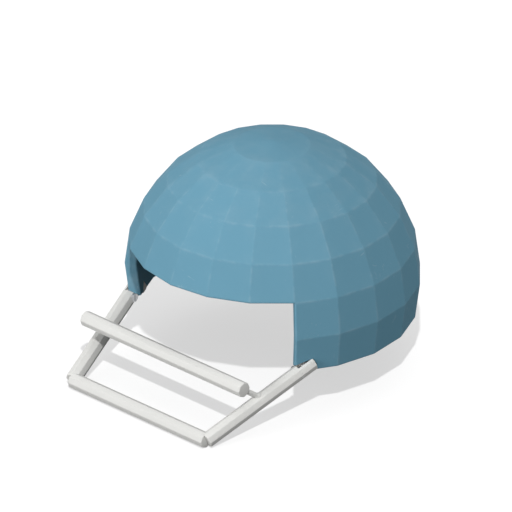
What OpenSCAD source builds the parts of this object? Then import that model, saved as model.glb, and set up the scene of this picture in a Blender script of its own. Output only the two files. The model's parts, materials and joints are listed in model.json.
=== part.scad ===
// Protective sports helmet with a two-bar face guard.
// The origin is the centre of the shell's sphere, +Z is up and the face looks along -Y.
// Azimuths are measured from the front, towards +X. Lengths are in millimetres.

/* [Shell] */
// Radius of the shell to its outer corners
shell_r = 130; // [108:1:156]
// Thickness of the shell's wall
wall_t = 11; // [9:0.1:14]
// Flat panels in one full turn of the shell
turn_panels = 20; // [16:4:24]
// Rings of panels between the equator and the crown
rise_panels = 6; // [5:1:7]
// Panels that the face opening takes out on each side of the middle
opening_panels = 3; // [2:1:3]

/* [Face guard bars] */
// Thickness of a bar over its corners
bar_d = 14; // [11:0.1:17]
// Half the length of the chin bar
chin_half = 82; // [68:1:98]
// Chin bar's axis ahead of the shell
chin_ahead = 32.5; // [27:0.5:39]
// Chin bar's axis below the shell's rim
chin_below = 41; // [34:0.5:50]
// Half the length of the crossbar
cross_half = 97.5; // [80:0.5:110]
// Crossbar's axis ahead of the shell
cross_ahead = 1.5; // [0:0.1:5]
// Crossbar's axis above the shell's rim
cross_above = 2.5; // [0:0.1:6]
// Length of a side bar behind its pivot, inside the shell's wall
side_tail = 16; // [13:0.5:19]

/* [Stays] */
// Diameter of the stays that carry the crossbar
stay_d = 5; // [4:0.1:6]
// Stay's centre along the side bar, from the chin bar's axis
stay_along = 63; // [52:0.5:72]
// Stay's centre from the end of the crossbar
stay_inset = 8; // [7:0.5:12]

/* [Corner dowels] */
// Diameter of the dowel between the chin bar and a side bar
dowel_d = 3; // [2:0.1:3.6]
// Depth of the dowel in the side bar
dowel_in_side = 12; // [8:0.5:16]
// Depth of the dowel in the chin bar
dowel_in_chin = 4.5; // [3:0.1:5]
// Dowel's centre inboard of the side bar's axis, so that it stays inside the chin bar
dowel_inboard = 3; // [2:0.1:4]

/* [Guard pivots] */
// Pivot from the lower corner of the shell's jamb: out, back and up
pivot_from_corner = [2.4, 2.5, 0.5]; // [0:0.1:6]
// How far the guard tilts up
guard_tilt = 25; // [10:5:25]
// Diameter of the pivot screw's shank
pivot_d = 5; // [4:0.1:6]
// Diameter of the pivot screw's head
head_d = 8; // [7:0.1:9]
// Thickness of the pivot screw's head
head_t = 1.9; // [1.5:0.1:2.2]
// Depth of the driver's slot in the head
driver_depth = 0.8; // [0.5:0.1:1]
// Width of the driver's slot in the head
driver_w = 1.2; // [0.8:0.1:1.4]
// Plastic left outside the blind end of the screw
pivot_skin = 0.8; // [0.5:0.1:1.2]
// Thickness of the hinge plate
plate_t = 3; // [2.5:0.1:3.6]
// Radius of the hinge plate's nose
plate_nose_r = 5; // [4.2:0.1:6]
// Width of the hinge plate's tail, inside the wall
plate_tail_w = 9; // [7:0.5:10]
// Height of the hinge plate's tail above the pivot
plate_tail_h = 19; // [14:0.5:22]
// Front edge of the plate's tail behind the pivot, so that the tail lies inside the wall
plate_tail_back = 5.2; // [4:0.1:7]
// Half the height of the plate's neck
plate_neck_half = 3.5; // [3:0.1:4.5]
// Room round the plate's nose in the side bar's pocket
nose_gap = 0.6; // [0.4:0.1:1]
// How far the stop lug on a side bar's tail stands inboard of the bar
lug_out = 3; // [2:0.5:4]
// Length of the stop lug along the tail
lug_len = 6; // [5:0.5:8]
// Thickness of a friction washer
washer_t = 0.8; // [0.5:0.1:1]

/* [Liner] */
// Brow: middle azimuth, half width, lowest and highest latitude
brow_zone = [0, 46, 21, 48]; // [-180:1:180]
// Right side: middle azimuth, half width, lowest and highest latitude
side_zone = [93, 25, -9, 42]; // [-180:1:180]
// Right rear: middle azimuth, half width, lowest and highest latitude
rear_zone = [148, 24, 12, 44]; // [-180:1:180]
// Nape: middle azimuth, half width, lowest and highest latitude
nape_zone = [180, 50, -11, 8]; // [-180:1:180]
// Lowest latitude of the crown block
crown_low = 56; // [52:1:65]
// Firm foam at the brow
brow_foam = 8; // [7.5:0.5:12]
// Firm foam at the sides
side_foam = 22; // [16:0.5:26]
// Firm foam at the rear and the nape
rear_foam = 10; // [8:0.5:14]
// Firm foam at the crown
crown_foam = 14; // [10:0.5:18]
// Thickness of the comfort pads
pad_t = 12; // [8:0.5:15]
// Diameter of the studs that hold the foam to the shell
stud_d = 8; // [6:0.1:9.6]
// Studs of a side block: latitude from the block's edges
stud_from_edge = 14; // [10:1:18]
// Depth of a stud in the foam
stud_in_foam = 6; // [4:0.5:7]
// Depth of a stud in the wall, past the shell's inner corners
stud_in_wall = 4; // [2:0.1:5]

/* [Clearances] */
// Between a fixed pin and its hole, on the radius
pin_gap = 0.05; // [0.02:0.01:0.1]
// Between a side bar and its slot in the shell
slot_gap = 0.4; // [0.3:0.05:0.6]
// Between a washer and the faces that it rubs on
rub_gap = 0.05; // [0.02:0.01:0.1]
// Between soft solids and what they lie on
soft_gap = 0.3; // [0.2:0.05:0.5]

/* [Hidden] */

$fn = 64;
eps = 0.01;
through = 60;            // longer than anything it cuts

shell_blue = [0.40, 0.57, 0.67];
bar_white = [0.86, 0.86, 0.84];
steel = [0.62, 0.63, 0.65];
foam_grey = [0.20, 0.21, 0.22];
pad_grey = [0.32, 0.34, 0.36];
washer_black = [0.08, 0.08, 0.08];

// Shell: corners lie on two spheres, at whole steps of azimuth and latitude.
turn_step = 360 / turn_panels;
rise_step = 90 / rise_panels;
rings = rise_panels + 1;                 // one ring of panels lies below the equator
inner_r = shell_r - wall_t;
function corner(r, i, j) =
    let (a = i * turn_step, lat = (j - 1) * rise_step)
    [r * cos(lat) * sin(a), -r * cos(lat) * cos(a), r * sin(lat)];
function wrap(i) = (i + turn_panels) % turn_panels;
// The face opening takes out the two lowest rings near the front.
function has_panel(i, j) =
    j >= 0 && (j >= 2 || (wrap(i) >= opening_panels && wrap(i) < turn_panels - opening_panels));

// Rim and jamb of the shell, where the guard is hinged
rim_r = shell_r * cos(rise_step);
rim_z = -shell_r * sin(rise_step);
jamb_a = opening_panels * turn_step;

// Guard: the right side's points; the left side is their mirror image.
bar_r = bar_d / 2;
jamb_corner = [rim_r * sin(jamb_a), -rim_r * cos(jamb_a), rim_z];
pivot = jamb_corner + pivot_from_corner;
chin_end = [chin_half, -shell_r - chin_ahead, rim_z - chin_below];
side_dir = (pivot - chin_end) / norm(pivot - chin_end);
side_end = pivot + side_tail * side_dir;
side_pitch = atan2(side_dir[2], side_dir[1]);
cross_y = -shell_r - cross_ahead;
cross_z = rim_z + cross_above;
stay_top = [cross_half - stay_inset, cross_y, cross_z];
stay_foot = chin_end + stay_along * side_dir;

// Hinge: plate in the middle of the side bar's slot, a washer on each side of it
slot_w = plate_t + 2 * washer_t + 4 * rub_gap;
pocket_r = plate_nose_r + nose_gap;
head_seat_x = pivot[0] - bar_r + head_t;
screw_tip_x = pivot[0] + bar_r - pivot_skin;

// Liner: the foam's outer sphere just fits inside the shell's inner flats.
liner_r = inner_r * cos(rise_step / 2) * cos(turn_step / 2) - soft_gap;
// Studs: azimuth and latitude of each
mid_rear = (rear_zone[2] + rear_zone[3]) / 2;
mid_brow = (brow_zone[2] + brow_zone[3]) / 2;
mid_nape = (nape_zone[2] + nape_zone[3]) / 2;
stud_places = [
    [-brow_zone[1] / 2, mid_brow], [brow_zone[1] / 2, mid_brow],
    [side_zone[0], side_zone[2] + stud_from_edge], [side_zone[0], side_zone[3] - stud_from_edge],
    [-side_zone[0], side_zone[2] + stud_from_edge], [-side_zone[0], side_zone[3] - stud_from_edge],
    [rear_zone[0], mid_rear], [-rear_zone[0], mid_rear],
    [180 - nape_zone[1] / 2, mid_nape], [180 + nape_zone[1] / 2, mid_nape],
    [0, 90]
];

// Turns +Z onto a direction, keeping one corner of an octagon level.
module aim(d) {
    rotate([0, acos(d[2] / norm(d)), atan2(d[1], d[0])])
        children();
}

module octagon_bar(a, b, r) {
    translate(a)
        aim(b - a)
            cylinder(r = r, h = norm(b - a), $fn = 8);
}

module rod(a, b, r) {
    translate(a)
        aim(b - a)
            cylinder(r = r, h = norm(b - a));
}

// A round thing along X, from one X to another, on the pivot's axis
module on_pivot(x0, x1, r) {
    translate([x0, pivot[1], pivot[2]])
        rotate([0, 90, 0])
            cylinder(r = r, h = x1 - x0);
}

// Turns its children about the pivot, front end up
module tilted(a) {
    translate([0, pivot[1], pivot[2]])
        rotate([-a, 0, 0])
            translate([0, -pivot[1], -pivot[2]])
                children();
}

module both_sides() {
    children();
    mirror([1, 0, 0]) children();
}

module left() {
    mirror([1, 0, 0]) children();
}

// ---- Shell

module faceted_dome() {
    outer = [for (j = [0:rings - 1]) for (i = [0:turn_panels - 1]) corner(shell_r, i, j)];
    inner = [for (j = [0:rings - 1]) for (i = [0:turn_panels - 1]) corner(inner_r, i, j)];
    count = len(outer);
    top = 2 * count;                     // the two crown points come last
    panels = [for (j = [0:rings - 1]) for (i = [0:turn_panels - 1]) if (has_panel(i, j)) [i, j]];
    function o(i, j) = j == rings ? top : j * turn_panels + wrap(i);
    function n(i, j) = j == rings ? top + 1 : count + j * turn_panels + wrap(i);
    skins = [for (p = panels) let (i = p[0], j = p[1]) each j == rings - 1
        ? [[o(i, j), o(i, j + 1), o(i + 1, j)],
           [n(i, j), n(i + 1, j), n(i, j + 1)]]
        : [[o(i, j), o(i, j + 1), o(i + 1, j + 1), o(i + 1, j)],
           [n(i, j), n(i + 1, j), n(i + 1, j + 1), n(i, j + 1)]]];
    rims = [for (p = panels) let (i = p[0], j = p[1]) if (!has_panel(i, j - 1))
        [o(i, j), o(i + 1, j), n(i + 1, j), n(i, j)]];
    right_jambs = [for (p = panels) let (i = p[0], j = p[1]) if (!has_panel(i - 1, j))
        [o(i, j), n(i, j), n(i, j + 1), o(i, j + 1)]];
    left_jambs = [for (p = panels) let (i = p[0], j = p[1]) if (!has_panel(i + 1, j))
        [o(i + 1, j), o(i + 1, j + 1), n(i + 1, j + 1), n(i + 1, j)]];
    polyhedron(
        points = concat(outer, inner, [[0, 0, shell_r], [0, 0, inner_r]]),
        faces = concat(skins, rims, right_jambs, left_jambs));
}

// The stop lug shows on the inside of the wall and meets the ends of its window at each limit
// of the tilt, with the slot's clearance.
module stop_lug(gap) {
    inboard = [-lug_out, 0, 0];
    octagon_bar(side_end + inboard - (lug_len + gap) * side_dir,
                side_end + inboard + gap * side_dir, bar_r + gap);
}

// Room for a side bar and its lug in the wall, at every tilt of the guard
module side_bar_slot() {
    for (a = [0:5:guard_tilt])
        tilted(a) {
            octagon_bar(pivot - through / 2 * side_dir, side_end + slot_gap * side_dir, bar_r + slot_gap);
            stop_lug(slot_gap);
        }
}

// Way for the pivot screw and its driver, from inside the shell
module screw_access() {
    on_pivot(pivot[0] - bar_r - 2 * wall_t, head_seat_x, head_d / 2 + slot_gap);
}

module shell() {
    color(shell_blue)
        difference() {
            faceted_dome();
            both_sides() side_bar_slot();
            both_sides() hinge_plate_shape(pin_gap);
            both_sides() screw_access();
            for (s = stud_places) stud(s, pin_gap);
        }
}

// ---- Hinge plates, moulded into the jaw corners of the shell

module hinge_plate_shape(gap) {
    translate([pivot[0] - plate_t / 2 - gap, pivot[1], pivot[2]])
        rotate([90, 0, 90])
            linear_extrude(plate_t + 2 * gap)
                union() {
                    circle(r = plate_nose_r + gap);
                    translate([0, -plate_neck_half - gap])
                        square([plate_tail_back + plate_tail_w + gap, 2 * (plate_neck_half + gap)]);
                    translate([plate_tail_back - gap, -plate_neck_half - gap])
                        square([plate_tail_w + 2 * gap, plate_neck_half + plate_tail_h + 2 * gap]);
                }
}

module right_hinge_plate() {
    color(steel)
        difference() {
            hinge_plate_shape(0);
            on_pivot(pivot[0] - plate_t, pivot[0] + plate_t, pivot_d / 2 + pin_gap);
        }
}

module left_hinge_plate() {
    left() right_hinge_plate();
}

// ---- Liner: firm foam blocks on studs, with a comfort pad on each

module stud(place, gap) {
    rotate([0, 0, place[0] - 90])
        rotate([0, 90 - place[1], 0])
            translate([0, 0, liner_r - stud_in_foam - gap])
                cylinder(r = stud_d / 2 + gap,
                         h = inner_r + stud_in_wall - liner_r + stud_in_foam + 2 * gap);
}

module foam_studs() {
    color(steel)
        for (s = stud_places) stud(s, 0);
}

// A piece of a thick sphere between two azimuths and two latitudes
module zone_block(zone, r_out, r_in) {
    reach = 2 * shell_r;
    rotate([0, 0, zone[0] - zone[1] - 90])
        rotate_extrude(angle = 2 * zone[1])
            intersection() {
                difference() {
                    circle(r = r_out);
                    circle(r = r_in);
                }
                polygon([
                    [0, 0],
                    reach * [cos(zone[2]), sin(zone[2])],
                    reach * [cos(zone[3]), sin(zone[3])]
                ]);
            }
}

module cap_block(low, r_out, r_in) {
    reach = 2 * shell_r;
    rotate_extrude()
        intersection() {
            difference() {
                circle(r = r_out);
                circle(r = r_in);
            }
            polygon([[0, 0], reach * [cos(low), sin(low)], [0, reach]]);
        }
}

module foam_zone(zone, foam) {
    color(foam_grey)
        difference() {
            zone_block(zone, liner_r, liner_r - foam);
            for (s = stud_places) stud(s, pin_gap);
        }
}

module pad_zone(zone, foam) {
    r = liner_r - foam - soft_gap;
    color(pad_grey)
        zone_block(zone, r, r - pad_t);
}

module brow_foam_block() {
    foam_zone(brow_zone, brow_foam);
}

module crown_foam_block() {
    color(foam_grey)
        difference() {
            cap_block(crown_low, liner_r, liner_r - crown_foam);
            for (s = stud_places) stud(s, pin_gap);
        }
}

module right_side_foam_block() {
    foam_zone(side_zone, side_foam);
}

module left_side_foam_block() {
    left() right_side_foam_block();
}

module right_rear_foam_block() {
    foam_zone(rear_zone, rear_foam);
}

module left_rear_foam_block() {
    left() right_rear_foam_block();
}

module nape_foam_block() {
    foam_zone(nape_zone, rear_foam);
}

module brow_pad() {
    pad_zone(brow_zone, brow_foam);
}

module crown_pad() {
    r = liner_r - crown_foam - soft_gap;
    color(pad_grey)
        cap_block(crown_low, r, r - pad_t);
}

module right_side_pad() {
    pad_zone(side_zone, side_foam);
}

module left_side_pad() {
    left() right_side_pad();
}

module right_rear_pad() {
    pad_zone(rear_zone, rear_foam);
}

module left_rear_pad() {
    left() right_rear_pad();
}

module nape_pad() {
    pad_zone(nape_zone, rear_foam);
}

// ---- Face guard

module right_side_prism() {
    octagon_bar(chin_end, side_end, bar_r);
}

module dowel(gap) {
    inboard = [-dowel_inboard, 0, 0];
    rod(chin_end + inboard - (dowel_in_chin + gap) * side_dir,
        chin_end + inboard + (dowel_in_side + gap) * side_dir,
        dowel_d / 2 + gap);
}

module stay_rod(gap) {
    d = (stay_foot - stay_top) / norm(stay_foot - stay_top);
    rod(stay_top - gap * d, stay_foot + gap * d, stay_d / 2 + gap);
}

module chin_bar() {
    color(bar_white)
        difference() {
            octagon_bar([-chin_half, chin_end[1], chin_end[2]], chin_end, bar_r);
            both_sides() right_side_prism();
            both_sides() dowel(pin_gap);
        }
}

module cross_bar() {
    color(bar_white)
        difference() {
            octagon_bar([-cross_half, cross_y, cross_z], [cross_half, cross_y, cross_z], bar_r);
            both_sides() stay_rod(pin_gap);
        }
}

module right_side_bar() {
    color(bar_white)
        difference() {
            union() {
                right_side_prism();
                stop_lug(0);
            }
            // room for the hinge plate and its washers: a round pocket, open behind the pivot
            on_pivot(pivot[0] - slot_w / 2, pivot[0] + slot_w / 2, pocket_r);
            translate(pivot)
                rotate([side_pitch, 0, 0])
                    translate([-slot_w / 2, 0, -through / 2])
                        cube([slot_w, through, through]);
            // screw's shank, blind on the outside
            on_pivot(pivot[0] - bar_r, screw_tip_x + pin_gap, pivot_d / 2 + pin_gap);
            // seat of the screw's head
            on_pivot(pivot[0] - 2 * bar_r, head_seat_x, head_d / 2 + pin_gap);
            stay_rod(pin_gap);
            dowel(pin_gap);
        }
}

module left_side_bar() {
    left() right_side_bar();
}

module right_stay() {
    color(bar_white)
        stay_rod(0);
}

module left_stay() {
    left() right_stay();
}

module corner_dowels() {
    color(steel)
        both_sides() dowel(0);
}

module right_pivot_screw() {
    color(steel)
        difference() {
            union() {
                on_pivot(head_seat_x - eps, screw_tip_x, pivot_d / 2);
                on_pivot(head_seat_x - head_t, head_seat_x, head_d / 2);
            }
            translate([head_seat_x - head_t, pivot[1], pivot[2]])
                cube([2 * driver_depth, driver_w, 2 * head_d], center = true);
        }
}

module left_pivot_screw() {
    left() right_pivot_screw();
}

module friction_washers() {
    inner_face = plate_t / 2 + rub_gap;
    color(washer_black)
        both_sides()
            for (x = [pivot[0] - inner_face - washer_t, pivot[0] + inner_face])
                difference() {
                    on_pivot(x, x + washer_t, plate_nose_r);
                    on_pivot(x - washer_t, x + 2 * washer_t, pivot_d / 2 + pin_gap);
                }
}

shell();
left_hinge_plate();
right_hinge_plate();
foam_studs();
brow_foam_block();
crown_foam_block();
left_side_foam_block();
right_side_foam_block();
left_rear_foam_block();
right_rear_foam_block();
nape_foam_block();
brow_pad();
crown_pad();
left_side_pad();
right_side_pad();
left_rear_pad();
right_rear_pad();
nape_pad();
chin_bar();
cross_bar();
left_side_bar();
right_side_bar();
left_stay();
right_stay();
corner_dowels();
left_pivot_screw();
right_pivot_screw();
friction_washers();
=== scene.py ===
import json
import math

import bmesh
import bpy
import numpy as np
from mathutils import Matrix, Vector
from mathutils.bvhtree import BVHTree


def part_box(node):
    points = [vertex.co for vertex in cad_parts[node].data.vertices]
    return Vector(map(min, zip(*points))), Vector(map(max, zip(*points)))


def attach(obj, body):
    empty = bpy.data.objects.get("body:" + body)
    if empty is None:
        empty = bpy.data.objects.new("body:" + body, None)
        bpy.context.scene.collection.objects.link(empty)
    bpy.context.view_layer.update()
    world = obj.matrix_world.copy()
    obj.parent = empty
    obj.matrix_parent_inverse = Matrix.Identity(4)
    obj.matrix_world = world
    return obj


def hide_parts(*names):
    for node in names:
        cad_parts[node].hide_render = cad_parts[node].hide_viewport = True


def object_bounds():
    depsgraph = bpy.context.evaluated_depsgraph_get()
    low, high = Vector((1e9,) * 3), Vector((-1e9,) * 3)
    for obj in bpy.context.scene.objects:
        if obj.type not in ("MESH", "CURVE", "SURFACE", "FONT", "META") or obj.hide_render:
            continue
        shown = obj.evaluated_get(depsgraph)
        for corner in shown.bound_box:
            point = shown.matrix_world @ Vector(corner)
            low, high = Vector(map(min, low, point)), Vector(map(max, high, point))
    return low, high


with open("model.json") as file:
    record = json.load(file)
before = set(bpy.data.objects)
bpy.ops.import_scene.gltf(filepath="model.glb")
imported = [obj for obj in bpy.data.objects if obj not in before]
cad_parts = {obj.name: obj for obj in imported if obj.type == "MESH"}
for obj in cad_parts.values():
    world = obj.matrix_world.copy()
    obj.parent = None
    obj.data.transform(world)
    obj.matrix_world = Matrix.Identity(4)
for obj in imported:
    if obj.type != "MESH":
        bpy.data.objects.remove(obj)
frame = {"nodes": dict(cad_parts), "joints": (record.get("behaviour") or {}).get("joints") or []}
cad_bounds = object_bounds()

# ---------------------------------------------------------------------------------------------
# Camera: a long lens without perspective, level with the middle of the helmet's box, at its
# right front and 27 degrees above it.
CAMERA_AZIMUTH = math.radians(45)
CAMERA_HEIGHT = math.radians(27)
VIEW_WIDTH = 0.4443
CAMERA_DISTANCE = 2.0

low, high = (np.array(corner) for corner in cad_bounds)
middle = (low + high) / 2
towards_camera = np.array([
    math.sin(CAMERA_AZIMUTH) * math.cos(CAMERA_HEIGHT),
    -math.cos(CAMERA_AZIMUTH) * math.cos(CAMERA_HEIGHT),
    math.sin(CAMERA_HEIGHT),
])
camera_data = bpy.data.cameras.new("camera")
camera_data.type = "ORTHO"
camera_data.ortho_scale = VIEW_WIDTH
camera = bpy.data.objects.new("camera", camera_data)
camera.location = middle + CAMERA_DISTANCE * towards_camera
camera.rotation_euler = Vector(-towards_camera).to_track_quat("-Z", "Y").to_euler()
bpy.context.collection.objects.link(camera)
bpy.context.scene.camera = camera
bpy.context.scene.view_settings.view_transform = "Standard"

# ---------------------------------------------------------------------------------------------
# Light: a soft sky, a wide lamp overhead, one sun over the camera's shoulder, and a wide low
# lamp from the front that lifts the face of the shell.
SKY = 0.42
OVERHEAD = 0.47
SUN = 1.50
FRONT_LIGHT = 1.80


def lamp_towards(name, azimuth, height, strength, width):
    """A sun lamp that shines from this azimuth (from the front, towards +X) and height."""
    data = bpy.data.lights.new(name, "SUN")
    data.energy = strength
    data.angle = math.radians(width)
    lamp = bpy.data.objects.new(name, data)
    a, h = math.radians(azimuth), math.radians(height)
    source = Vector((math.sin(a) * math.cos(h), -math.cos(a) * math.cos(h), math.sin(h)))
    lamp.rotation_euler = source.to_track_quat("Z", "Y").to_euler()
    bpy.context.collection.objects.link(lamp)
    return lamp


lamp_towards("sun", azimuth=45, height=48, strength=SUN, width=1.5)
lamp_towards("overhead", azimuth=0, height=90, strength=OVERHEAD, width=60)
lamp_towards("front_light", azimuth=-12, height=6, strength=FRONT_LIGHT, width=30)


def seen_directly(nodes, links):
    """1 for rays from the camera and for mirror and glass rays, 0 for scattered light."""
    path = nodes.new("ShaderNodeLightPath")
    either = nodes.new("ShaderNodeMath")
    either.operation = "MAXIMUM"
    links.new(path.outputs["Is Camera Ray"], either.inputs[0])
    links.new(path.outputs["Is Glossy Ray"], either.inputs[1])
    any_ray = nodes.new("ShaderNodeMath")
    any_ray.operation = "MAXIMUM"
    links.new(either.outputs[0], any_ray.inputs[0])
    links.new(path.outputs["Is Transmission Ray"], any_ray.inputs[1])
    return any_ray.outputs[0]


world = bpy.data.worlds.new("studio")
bpy.context.scene.world = world
world.use_nodes = True
nodes, links = world.node_tree.nodes, world.node_tree.links
backdrop = nodes["Background"]
backdrop.inputs["Color"].default_value = (1, 1, 1, 1)
brightness = nodes.new("ShaderNodeMapRange")
brightness.inputs["To Min"].default_value = SKY
brightness.inputs["To Max"].default_value = 1.0
links.new(seen_directly(nodes, links), brightness.inputs["Value"])
links.new(brightness.outputs["Result"], backdrop.inputs["Strength"])

# ---------------------------------------------------------------------------------------------
# Floor: a plain white sweep that the chin bar stands on. It looks white, throws little light
# back up, and a sun of its own keeps the shadow on it crisp and even under the shell too.
FLOOR_HALF = 4.0
FLOOR_WHITE = 0.30
FLOOR_LIFT = 0.59
FLOOR_BOUNCE = 0.11
FLOOR_SUN = 2.6

floor_z = float(low[2])
floor_mesh = bpy.data.meshes.new("floor")
floor_mesh.from_pydata(
    [(x * FLOOR_HALF, y * FLOOR_HALF, floor_z) for x, y in ((-1, -1), (1, -1), (1, 1), (-1, 1))],
    [], [(0, 1, 2, 3)])
floor = bpy.data.objects.new("floor", floor_mesh)
bpy.context.collection.objects.link(floor)
floor_paint = bpy.data.materials.new("floor_paint")
floor_paint.use_nodes = True
nodes, links = floor_paint.node_tree.nodes, floor_paint.node_tree.links
shader = nodes["Principled BSDF"]
shader.inputs["Roughness"].default_value = 1.0
shader.inputs["Specular IOR Level"].default_value = 0.0
shader.inputs["Emission Color"].default_value = (1, 1, 1, 1)
direct = seen_directly(nodes, links)
white = nodes.new("ShaderNodeMix")
white.data_type = "RGBA"
white.inputs["A"].default_value = (FLOOR_BOUNCE, FLOOR_BOUNCE, FLOOR_BOUNCE, 1)
white.inputs["B"].default_value = (FLOOR_WHITE, FLOOR_WHITE, FLOOR_WHITE, 1)
links.new(direct, white.inputs["Factor"])
links.new(white.outputs["Result"], shader.inputs["Base Color"])
lift = nodes.new("ShaderNodeMath")
lift.operation = "MULTIPLY"
lift.inputs[1].default_value = FLOOR_LIFT
links.new(direct, lift.inputs[0])
links.new(lift.outputs[0], shader.inputs["Emission Strength"])
floor_mesh.materials.append(floor_paint)
floor_sun = lamp_towards("floor_sun", azimuth=45, height=48, strength=FLOOR_SUN, width=1.5)
only_floor = bpy.data.collections.new("only_floor")
only_floor.objects.link(floor)
floor_sun.light_linking.receiver_collection = only_floor

# ---------------------------------------------------------------------------------------------
# Shell: one thick moulding in matt steel-blue plastic. Flat panels lie between corners on a
# sphere, every ridge is a little rounded, and the rim, the jambs and the brow are rolled edges.
PANELS = 20
RINGS = 7
OPENING = 3
OPENING_TOP = 2
TURN = math.radians(360 / PANELS)
RISE = math.radians(15)
WALL = 0.011
RIDGE_SHARPNESS = 1500.0
RIDGE_STEP_ROUND = 0.006
RIDGE_STEP_UP = 0.008
EDGE_ROUND = 0.0016
WELD = 2e-6

shell_r = float(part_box("shell")[1][2])
inner_r = shell_r - WALL


def surface_object(name, points, faces):
    """A mesh object from arrays, its coinciding points welded and its faces turned outward."""
    mesh = bpy.data.meshes.new(name)
    mesh.from_pydata(np.asarray(points, float).tolist(), [], [tuple(map(int, f)) for f in faces])
    work = bmesh.new()
    work.from_mesh(mesh)
    bmesh.ops.remove_doubles(work, verts=work.verts, dist=WELD)
    bmesh.ops.dissolve_degenerate(work, dist=WELD / 2, edges=work.edges)
    bmesh.ops.recalc_face_normals(work, faces=work.faces)
    work.to_mesh(mesh)
    work.free()
    piece = bpy.data.objects.new(name, mesh)
    bpy.context.collection.objects.link(piece)
    soften(piece)
    return piece


def soften(piece, angle=32):
    """Smooth shading, with edges over the angle left sharp."""
    piece.data.polygons.foreach_set("use_smooth", [True] * len(piece.data.polygons))
    piece.data.set_sharp_from_angle(angle=math.radians(angle))


def coordinates(piece):
    """The points of a piece's mesh as an array."""
    points = np.empty(len(piece.data.vertices) * 3)
    piece.data.vertices.foreach_get("co", points)
    return points.reshape(-1, 3)


def grid_faces(rows, columns, close_rows=False, close_columns=False, first=0):
    """Quads between the points of a rows x columns grid that is numbered row by row."""
    r = np.arange(rows if close_rows else rows - 1)
    c = np.arange(columns if close_columns else columns - 1)
    r, c = (a.ravel() for a in np.meshgrid(r, c, indexing="ij"))
    r2, c2 = (r + 1) % rows, (c + 1) % columns
    corners = r * columns + c, r * columns + c2, r2 * columns + c2, r2 * columns + c
    return first + np.stack(corners, 1)


def dome_corner(radius, i, j):
    """Corner i round the dome and j up from the rim: on the sphere, at whole steps of azimuth
    and latitude, with the rim one step below the equator."""
    a, b = i * TURN, (j - 1) * RISE
    return radius * np.stack([np.cos(b) * np.sin(a), -np.cos(b) * np.cos(a), np.sin(b)], -1)


def panel_planes(radius):
    """Unit normal and distance from the centre of every panel's plane, the opening's too."""
    i, j = (a.ravel() for a in np.meshgrid(np.arange(PANELS), np.arange(RINGS), indexing="ij"))
    p, q, s = dome_corner(radius, i, j), dome_corner(radius, i + 1, j), dome_corner(radius, i, j + 1)
    normal = np.cross(q - p, s - p)
    normal /= np.linalg.norm(normal, axis=1, keepdims=True)
    return normal, np.sum(normal * p, axis=1)


def dome_surface(radius, a, b):
    """Point at panel coordinates a round and b up. Its direction is that of the flat panel's
    bilinear point, and its reach is the smooth minimum of the reaches to all panels' planes:
    (sum of (n.d / h) to the power p) to the power -1/p, which rounds the ridges."""
    i, j = np.floor(a), np.minimum(np.floor(b), RINGS - 1)
    s, t = (a - i)[..., None], (b - j)[..., None]
    flat = ((1 - s) * (1 - t) * dome_corner(radius, i, j) + s * (1 - t) * dome_corner(radius, i + 1, j)
            + s * t * dome_corner(radius, i + 1, j + 1) + (1 - s) * t * dome_corner(radius, i, j + 1))
    direction = flat.reshape(-1, 3)
    direction = direction / np.linalg.norm(direction, axis=1, keepdims=True)
    normal, distance = panel_planes(radius)
    nearness = np.clip(direction @ normal.T / distance, 1e-6, None)
    top = nearness.max(axis=1, keepdims=True)
    reach = top[:, 0] * np.sum((nearness / top) ** RIDGE_SHARPNESS, axis=1) ** (1 / RIDGE_SHARPNESS)
    return (direction / reach[:, None]).reshape(flat.shape)


def ridge_steps(edge, closing=True):
    """Places along one panel from 0 up to 1: close together at the ridges, wide on the flat."""
    near = np.array([0, 0.5, 1, 1.7, 2.6, 4, 7]) * edge
    far = 1 - near[:0:-1] if closing else np.array([0.85, 0.93])
    return np.concatenate([near, [0.3, 0.5, 0.7], far])


def dome_lines():
    """The grid's lines round the dome and up it, with the lines where the rolled edges begin."""
    side, rise = EDGE_ROUND / (shell_r * TURN), EDGE_ROUND / (shell_r * RISE)
    across = (np.arange(PANELS)[:, None] + ridge_steps(RIDGE_STEP_ROUND)).ravel()
    up = (np.arange(RINGS - 1)[:, None] + ridge_steps(RIDGE_STEP_UP)).ravel()
    up = np.concatenate([up, RINGS - 1 + ridge_steps(RIDGE_STEP_UP, closing=False), [RINGS]])
    for extra in (OPENING + side, PANELS - OPENING - side):
        across = np.append(across[np.abs(across - extra) > 1e-3], extra)
    up = up[np.abs(up - rise) > 1e-3]
    up = up[np.abs(up - OPENING_TOP - rise) > 1e-3]
    up = np.sort(np.concatenate([up[up > rise], [rise, OPENING_TOP + rise]]))
    return np.sort(across), up, side, rise


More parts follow.
